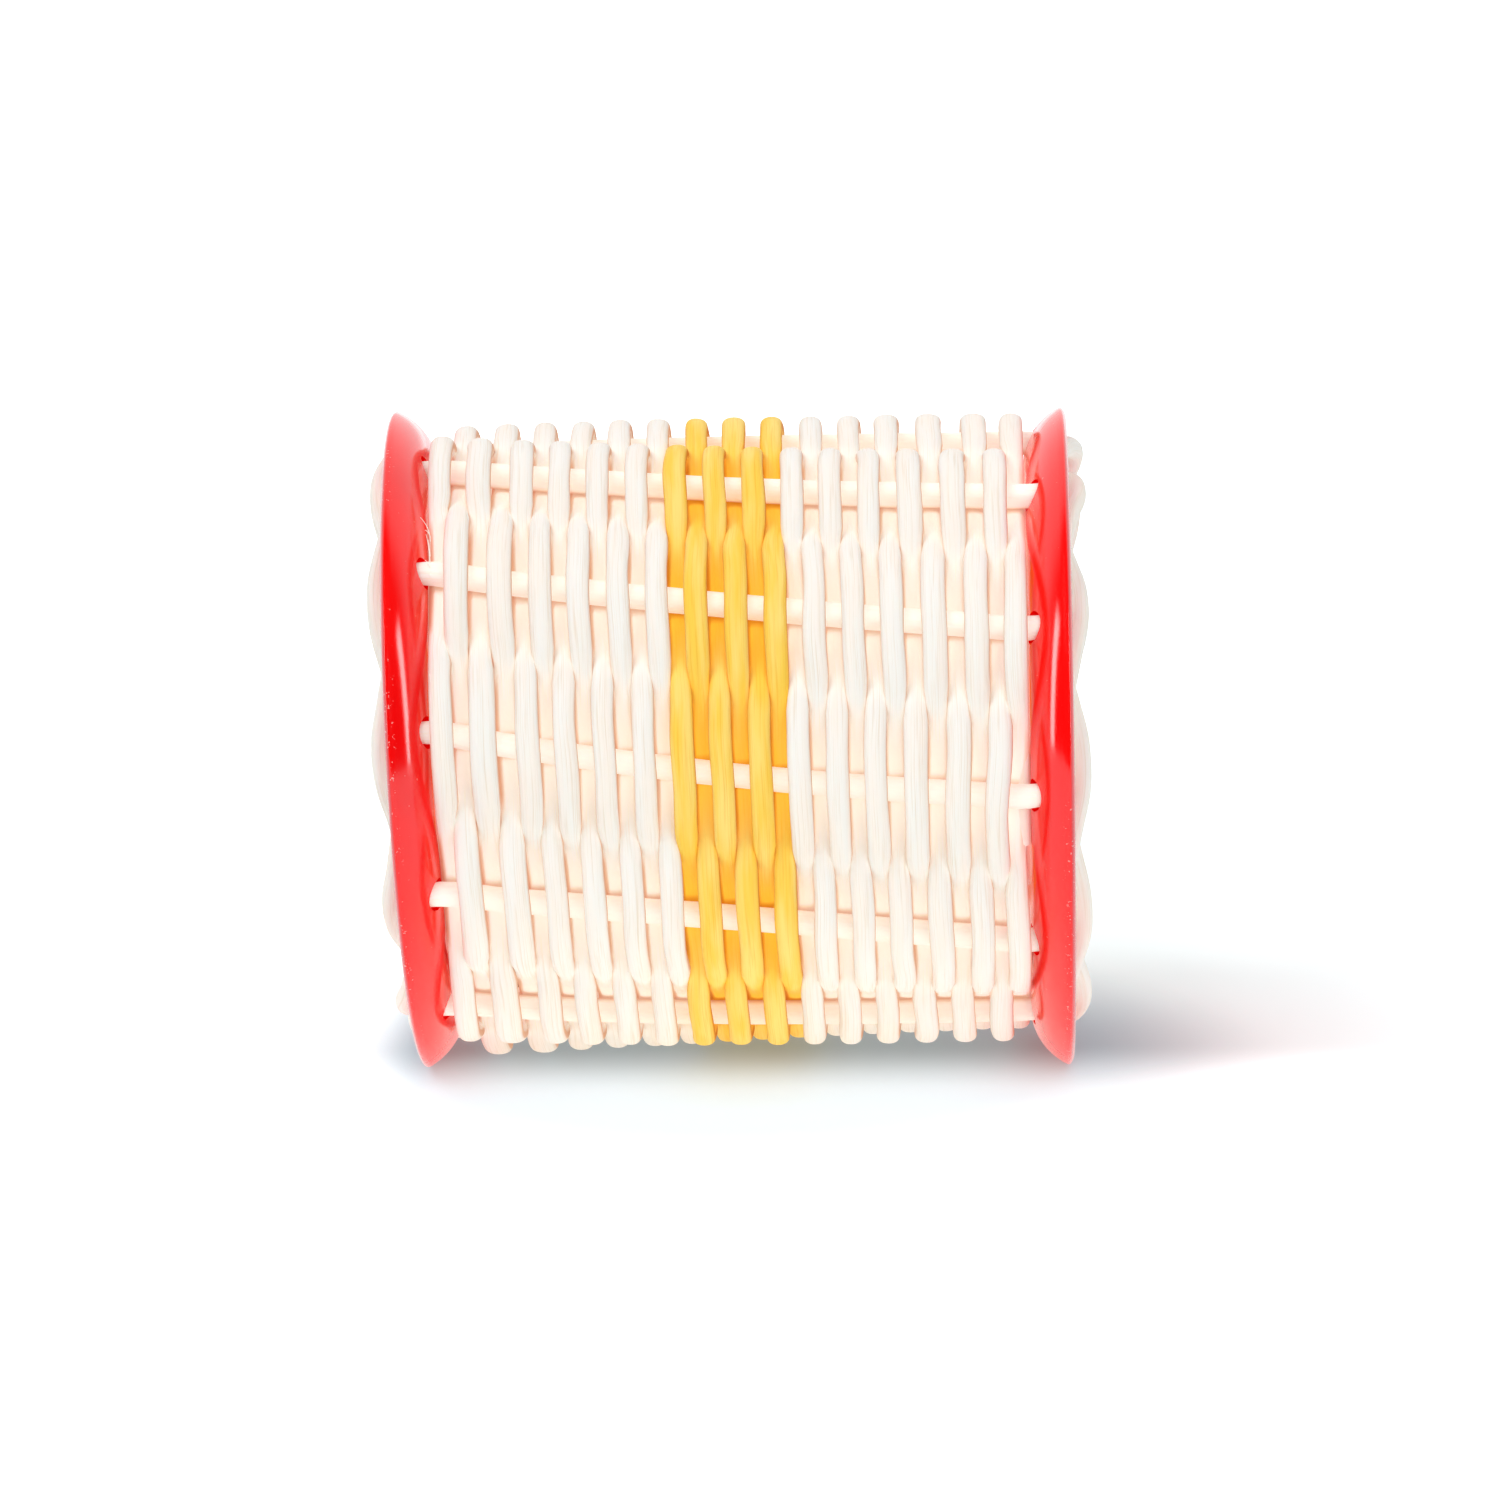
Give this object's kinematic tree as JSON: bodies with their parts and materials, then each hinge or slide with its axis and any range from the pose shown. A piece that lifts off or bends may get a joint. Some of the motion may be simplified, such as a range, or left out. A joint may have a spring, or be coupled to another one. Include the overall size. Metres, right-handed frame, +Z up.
{
  "type": "ganza shaker",
  "caption": "Hand shaker with a woven rattan wall between two red plastic end caps, with loose seeds inside that rattle round the wall.",
  "frame": {"origin": "on the floor, below the middle of the ganza's overall box", "axes": "+X along the ganza's length, from the cap at the left of the picture to the one at the right; +Z up; the pictured side faces -Y"},
  "size_m": [0.0976, 0.09, 0.09],
  "materials": {
    "red_plastic": "glossy moulded red plastic",
    "natural_rattan": "pale peeled rattan, satin, with long fibres",
    "yellow_rattan": "yellow dyed rattan, satin, with long fibres",
    "dried_seed": "dry brown seed, satin"
  },
  "bodies": {
    "shell": {"left_cap": "red_plastic", "right_cap": "red_plastic", "stake_01": "natural_rattan", "stake_02": "natural_rattan", "stake_03": "natural_rattan", "stake_04": "natural_rattan", "stake_05": "natural_rattan", "stake_06": "natural_rattan", "stake_07": "natural_rattan", "stake_08": "natural_rattan", "stake_09": "natural_rattan", "stake_10": "natural_rattan", "stake_11": "natural_rattan", "left_weaver_1": "natural_rattan", "left_weaver_2": "natural_rattan", "yellow_weaver": "yellow_rattan", "right_weaver_1": "natural_rattan", "right_weaver_2": "natural_rattan"},
    "seed_01": {"seed_01": "dried_seed"},
    "seed_02": {"seed_02": "dried_seed"},
    "seed_03": {"seed_03": "dried_seed"},
    "seed_04": {"seed_04": "dried_seed"},
    "seed_05": {"seed_05": "dried_seed"},
    "seed_06": {"seed_06": "dried_seed"},
    "seed_07": {"seed_07": "dried_seed"},
    "seed_08": {"seed_08": "dried_seed"},
    "seed_09": {"seed_09": "dried_seed"},
    "seed_10": {"seed_10": "dried_seed"},
    "seed_11": {"seed_11": "dried_seed"},
    "seed_12": {"seed_12": "dried_seed"},
    "seed_13": {"seed_13": "dried_seed"}
  },
  "joints": [
    {"name": "seed_01_roll", "type": "hinge", "parent": "shell", "child": "seed_01", "pos_m": [0.00074, 0, 0.04508], "axis": [1, 0, -0.0033], "continuous": true},
    {"name": "seed_02_roll", "type": "hinge", "parent": "shell", "child": "seed_02", "pos_m": [0.00074, 0, 0.04508], "axis": [1, 0, -0.0033], "continuous": true},
    {"name": "seed_03_roll", "type": "hinge", "parent": "shell", "child": "seed_03", "pos_m": [0.00074, 0, 0.04508], "axis": [1, 0, -0.0033], "continuous": true},
    {"name": "seed_04_roll", "type": "hinge", "parent": "shell", "child": "seed_04", "pos_m": [0.00074, 0, 0.04508], "axis": [1, 0, -0.0033], "continuous": true},
    {"name": "seed_05_roll", "type": "hinge", "parent": "shell", "child": "seed_05", "pos_m": [0.00074, 0, 0.04508], "axis": [1, 0, -0.0033], "continuous": true},
    {"name": "seed_06_roll", "type": "hinge", "parent": "shell", "child": "seed_06", "pos_m": [0.00074, 0, 0.04508], "axis": [1, 0, -0.0033], "continuous": true},
    {"name": "seed_07_roll", "type": "hinge", "parent": "shell", "child": "seed_07", "pos_m": [0.00074, 0, 0.04508], "axis": [1, 0, -0.0033], "continuous": true},
    {"name": "seed_08_roll", "type": "hinge", "parent": "shell", "child": "seed_08", "pos_m": [0.00074, 0, 0.04508], "axis": [1, 0, -0.0033], "continuous": true},
    {"name": "seed_09_roll", "type": "hinge", "parent": "shell", "child": "seed_09", "pos_m": [0.00074, 0, 0.04508], "axis": [1, 0, -0.0033], "continuous": true},
    {"name": "seed_10_roll", "type": "hinge", "parent": "shell", "child": "seed_10", "pos_m": [0.00074, 0, 0.04508], "axis": [1, 0, -0.0033], "continuous": true},
    {"name": "seed_11_roll", "type": "hinge", "parent": "shell", "child": "seed_11", "pos_m": [0.00074, 0, 0.04508], "axis": [1, 0, -0.0033], "continuous": true},
    {"name": "seed_12_roll", "type": "hinge", "parent": "shell", "child": "seed_12", "pos_m": [0.00074, 0, 0.04508], "axis": [1, 0, -0.0033], "continuous": true},
    {"name": "seed_13_roll", "type": "hinge", "parent": "shell", "child": "seed_13", "pos_m": [0.00074, 0, 0.04508], "axis": [1, 0, -0.0033], "continuous": true}
  ]
}
